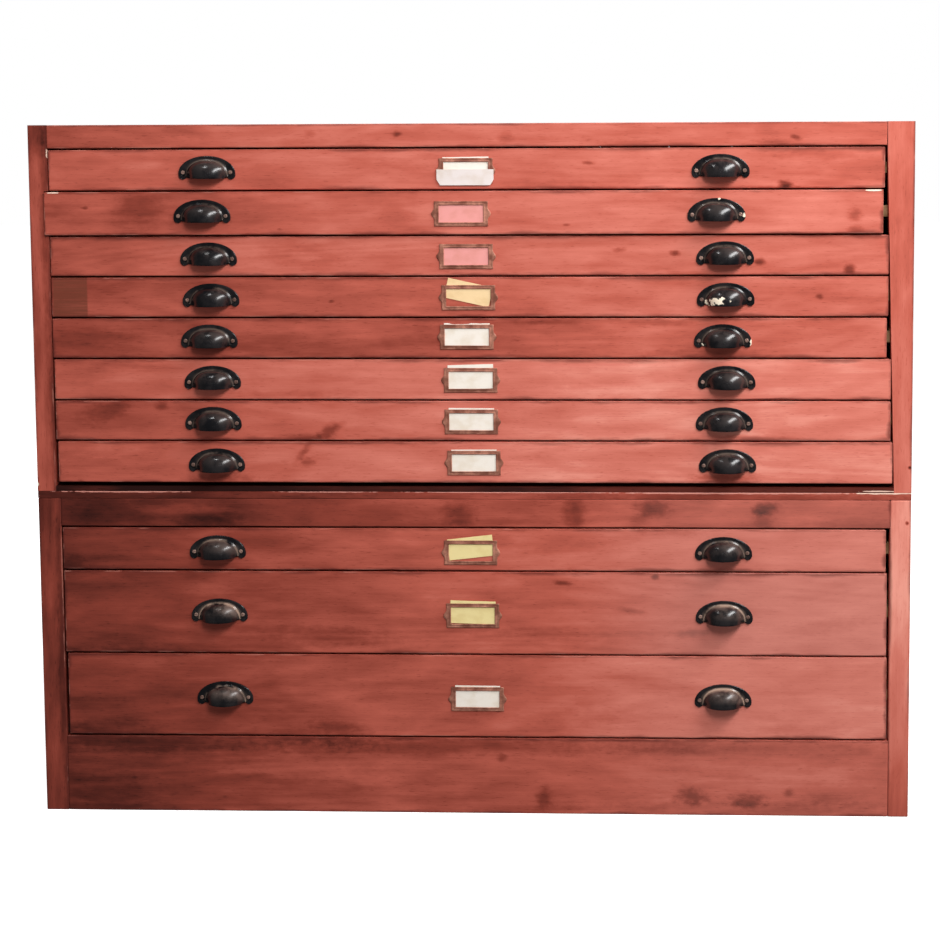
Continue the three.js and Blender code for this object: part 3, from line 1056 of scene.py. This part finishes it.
# Looks as for the fronts; each board's paleness is its stain and painted shade, darker to the left
# and darkest low on the left.
RAILS = {
    "upper_top_rail": dict(
        tone_and_shade=(0.50, 0.65, 0.70, 0.70, 0.65), grime=0.7, edges=(Z,),
        marks=[
            (-112, 1096, 8, 5, -0.35), (-250, 1096, 10, 6, -0.12), (515, 1087, 9, 4, -0.3, 20),
            (60, 1090, 12, 10, -0.12), (250, 1080, 40, 7, -0.12), (480, 1081, 26, 5, -0.16),
        ],
    ),
    "lower_top_rail": dict(
        tone_and_shade=(0.20, 0.35, 0.55, 0.60, 0.55), grime=0.8, rub_and_highlight=0.0, painted_sheen=0.1, edges=(X,),
        marks=[
            (-600, 492, 90, 40, -0.10), (-480, 497, 70, 9, 0.14), (-420, 480, 52, 12, -0.18),
            (-19, 487, 26, 26, -0.2), (166, 492, 18, 30, -0.22), (290, 500, 26, 14, -0.26),
            (268, 480, 24, 12, -0.12, -35), (470, 500, 22, 10, -0.34), (466, 480, 18, 16, -0.18),
            (600, 476, 90, 9, -0.1),
        ],
    ),
    "lower_plinth_rail": dict(
        tone_and_shade=(0.25, 0.45, 0.55, 0.65, 0.65), grime=1.2, rub_and_highlight=0.3, painted_sheen=0.07, edges=(Z,),
        marks=[
            # The long marks at z 110 to 112 darken a band along the top, under the bottom drawer.
            (-215, 116, 56, 10, -0.14, 6), (-480, 112, 250, 16, -0.14), (0, 110, 320, 14, -0.12),
            (470, 112, 240, 14, -0.1), (353, 31, 26, 13, -0.3), (443, 24, 28, 13, -0.32),
            (509, 38, 9, 7, -0.24), (114, 28, 14, 18, -0.2), (46, 92, 9, 6, -0.2),
            (420, 10, 260, 12, -0.12), (580, 30, 50, 10, -0.12), (470, 72, 160, 20, 0.08, 4),
            (-300, 70, 180, 18, 0.07, 3), (-600, 30, 90, 40, -0.08),
        ],
    ),
}
STILES = {
    "upper_stile_left": dict(
        tone_and_shade=(0.50, 0.50, 0.50, 0.50, 0.45), edges=(X,),
        marks=[(-690, 1095, 30, 30, -0.18), (-673, 900, 8, 200, -0.1), (-672, 660, 6, 130, -0.1)],
        chips=[(-670.5, 1067, 1.2, 8, CREAM_EDGE), (-702, 537, 5, 4, BARE)],
    ),
    "upper_stile_right": dict(
        tone_and_shade=(0.80, 0.70, 0.65, 0.65, 0.70), grime=0.6, edges=(X,),
        marks=[(697, 567, 3, 3, -0.7)],
    ),
    "lower_stile_left": dict(
        tone_and_shade=(0.30, 0.35, 0.35, 0.35, 0.30), edges=(X,),
        marks=[(-690, 380, 12, 60, 0.08), (-690, 120, 20, 60, 0.06), (-668, 260, 6, 240, -0.12)],
    ),
    "lower_stile_right": dict(
        tone_and_shade=(0.60, 0.75, 0.85, 0.95, 0.90), grime=0.7, edges=(X,),
        marks=[(694, 478, 3, 3, -0.7)],
    ),
}
RAIL_SLANT = 1 * MM                 # room for the slanted end where the tapered stile begins
SIDE_PANEL = 20 * MM
RUNNER_HALF = 9 * MM
RUNNER_FRONT_GAP = 2 * MM
RUNNER_BACK_GAP = 8 * MM


def keep_board(node, material, arris=1.3 * MM):
    """A board whose CAD shape is right: it gets rounded arrises and its material."""
    board = NODES[node]
    board.data.materials.clear()
    board.data.materials.append(material)
    soften(board, arris)


def make_frame(looks, along, seed):
    """The rails or the stiles; the upper stiles, tapered or cut out, keep their CAD shape."""
    for index, (node, look) in enumerate(looks.items()):
        low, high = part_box(node)
        if node == "upper_top_rail":
            high.x -= RAIL_SLANT
        material = stained_wood(f"{node}_stain", low, high, along, seed + index, **look)
        if node.startswith("upper_stile"):
            keep_board(node, material)
            continue
        body = board_body(low, high, along, seed + index, wear=HARD_WEAR, step=0.015, chips=2 * MM)
        wooden_piece(f"{node}_board", [body], material, CASE, node)


def make_panel(node, along, side, count, seed, material=None, box=None):
    """A panel of planks, of stained wood unless another material is given."""
    low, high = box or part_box(node)
    material = material or stained_wood(
        f"{node}_stain", low, high, along, seed, (0.62, 0.70), grime=0.6, edges=(along,)
    )
    bodies = planks(low, high, along, side, count, seed, radius=0.8 * MM, wear=0.5 * MM, step=0.05)
    wooden_piece(f"{node}_planks", bodies, material, CASE, node)


def make_seam_boards(seed):
    """The two boards between the cases, whose worn front edges show. The upper one's edge is
    painted near black as the shade in the gap, paler towards the right end; the pink lines on the
    lower one's top arris are wear and painted highlight.
    """
    low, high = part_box("upper_bottom_board")
    # Painted shade: near black at the left, paler towards the right end.
    dark = stained_wood(
        "upper_bottom_board_stain_and_shade", low, high, X, seed, (0.0, 0.0, 0.05, 0.15, 0.20),
        grime=0.3, rub_and_highlight=0.0, edges=(X,), chips=[(650, 529, 34, 1.0, CREAM_EDGE)],
    )
    keep_board("upper_bottom_board", dark, 0.8 * MM)
    low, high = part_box("lower_top_board")
    worn = stained_wood(
        "lower_top_board_stain", low, high, X, seed + 1, (0.15, 0.25, 0.45, 0.50, 0.50),
        grime=0.3, rub_and_highlight=0.0, edges=(X,),
        marks=[(430, 519, 280, 6, -0.12)],
        # Pink lines on the top arris, under the gap: wear and painted highlight.
        chips=[
            (-560, 525.6, 120, 1.6, PINK_WEAR_AND_HIGHLIGHT), (-230, 525.8, 90, 1.2, PINK_WEAR_AND_HIGHLIGHT),
            (60, 525.8, 200, 1.2, PINK_WEAR_AND_HIGHLIGHT), (420, 525.4, 240, 1.8, PINK_WEAR_AND_HIGHLIGHT),
            (660, 525.4, 60, 1.5, CREAM_EDGE),
        ],
    )
    make_panel("lower_top_board", X, Y, 5, seed + 2, worn)


def make_sides(case, drawers, seed):
    """Side panels of upright planks, and the runner battens on their inside."""
    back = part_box(f"{case}_back")[0].y
    for name in ("left", "right"):
        node = f"{case}_side_{name}"
        low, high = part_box(node)
        inner = low.x + SIDE_PANEL if name == "left" else high.x - SIDE_PANEL
        spans = [(low.x, inner), (inner, high.x)]
        panel_x, runner_x = spans if name == "left" else spans[::-1]
        panel = Vector((panel_x[0], low.y, low.z)), Vector((panel_x[1], high.y, high.z))
        make_panel(node, Z, Y, 6, seed, box=panel)
        pine = bare_pine(f"{node}_runner_pine", Y, seed + 5)
        for drawer in drawers:
            middle = front_middle(drawer)
            body = board_body(
                (runner_x[0], low.y + RUNNER_FRONT_GAP, middle - RUNNER_HALF),
                (runner_x[1], back - RUNNER_BACK_GAP, middle + RUNNER_HALF),
                Y, seed + middle, radius=0.8 * MM, wear=0.5 * MM, step=0.1,
            )
            wooden_piece(f"{drawer}_runner_{name}", [body], pine, CASE)
        seed += 11


def make_case():
    make_frame(RAILS, X, 100)
    make_frame(STILES, Z, 110)
    make_sides("upper", UPPER_DRAWERS, 200)
    make_sides("lower", DRAWERS[8:], 240)
    make_panel("upper_top_board", X, Y, 5, 300)
    make_seam_boards(310)
    for case, seed in (("upper", 330), ("lower", 350)):
        pine = bare_pine(f"{case}_back_pine", Z, seed, srgb(170, 140, 108), srgb(126, 96, 70), 0.8)
        make_panel(f"{case}_back", Z, X, 11, seed, pine)


# ---- Stage ----

AMBIENT = 0.27                      # even light from all round, on surfaces that scatter it
GLOSS_AMBIENT = 0.07                # what shiny surfaces mirror where no light stands
FLOOR_GLOW = 0.82                   # what makes the floor as white as the background
FLOOR_HALF = 30


def area_light(name, place, target, size, power, mirrored=True):
    data = bpy.data.lights.new(name, "AREA")
    data.shape = "RECTANGLE"
    data.size, data.size_y = size
    data.energy = power
    light = new_object(name, data)
    light.visible_glossy = mirrored
    light.location = place
    direction = Vector(target) - Vector(place)
    light.rotation_euler = direction.to_track_quat("-Z", "Y").to_euler()


def make_floor():
    """A white floor that runs out into the white background and throws no light on the chest."""
    shader = Shader("pale_floor")
    speck = shader.spots(3, detail=3)
    tint = shader.mix(shader.between(speck, 0.3, 0.7), grey(0.90), grey(0.93))
    shader.set(Base_Color=tint, Roughness=0.9, Emission_Color=grey(1), Emission_Strength=FLOOR_GLOW)
    corners = [(x * FLOOR_HALF, y * FLOOR_HALF, 0) for x, y in ((-1, -1), (1, -1), (1, 1), (-1, 1))]
    floor = mesh_piece("floor", [(corners, [[0, 1, 2, 3]])], shader.material)
    floor.location.z = -0.3 * MM
    floor.visible_diffuse = False
    floor.visible_glossy = False


def make_background():
    """White behind the chest, a dim even light on it, and near darkness for metal to mirror."""
    world = bpy.data.worlds.new("studio")
    world.use_nodes = True
    tree = world.node_tree
    background = tree.nodes["Background"]
    background.inputs["Color"].default_value = grey(1)
    ray = tree.nodes.new("ShaderNodeLightPath").outputs
    level = tree.nodes.new("ShaderNodeValue").outputs[0]
    level.default_value = AMBIENT
    for kind, seen in (("Is Glossy Ray", GLOSS_AMBIENT), ("Is Camera Ray", 1)):
        step = tree.nodes.new("ShaderNodeMath")
        step.operation = "MULTIPLY_ADD"
        tree.links.new(ray[kind], step.inputs[0])
        step.inputs[1].default_value = seen - AMBIENT
        tree.links.new(level, step.inputs[2])
        level = step.outputs[0]
    tree.links.new(level, background.inputs["Strength"])
    bpy.context.scene.world = world


def make_lights():
    target = (0.0, FRONT_Y, 0.7)
    area_light("front", (0.9, -3.3, 2.6), (0.05, FRONT_Y, 0.6), (1.6, 1.1), 68, mirrored=False)
    area_light("window", (1.8, -1.15, 2.5), target, (2.2, 0.65), 76)
    area_light("lamp", (-0.7, -1.15, 2.9), target, (0.2, 0.2), 5)
    area_light("back", (-2.0, 3.4, 2.6), (0, 0.4, 0.6), (2.5, 2.5), 60)


# ---- Everything ----

# Iron pulls rubbed more than the rest, and white paint left on some, as (x, z, half width,
# half height) in millimetres.
WORN_PULLS = {"drawer_09": 0.35, "drawer_10": 0.85, "drawer_11": 0.95}
PAINTED_PULLS = {
    "drawer_02": [(394.5, 993, 3, 1.8), (434, 966, 1.6, 3)],
    "drawer_04": [(393, 832, 13, 7.5)],
    "drawer_05": [(445.5, 765, 2.2, 7), (370, 760, 2, 3)],
}


def make_drawers():
    screws = tarnished_brass("screw_brass", 3, srgb(112, 84, 74), srgb(180, 146, 132))
    for index, drawer in enumerate(DRAWERS):
        seed = 10 + index * 7
        make_front(drawer, seed)
        make_tray(drawer, seed + 500)
        make_label(drawer, seed + 1)
        paint = PAINTED_PULLS.get(drawer, ())
        iron = black_iron(f"{drawer}_iron", seed, WORN_PULLS.get(drawer, 0.1), paint)
        for side in ("left", "right"):
            make_pull(drawer, side, iron, screws, seed + (side == "right"))


make_camera()
make_floor()
make_background()
make_lights()
bpy.context.scene.view_settings.view_transform = "Standard"
make_case()
make_drawers()
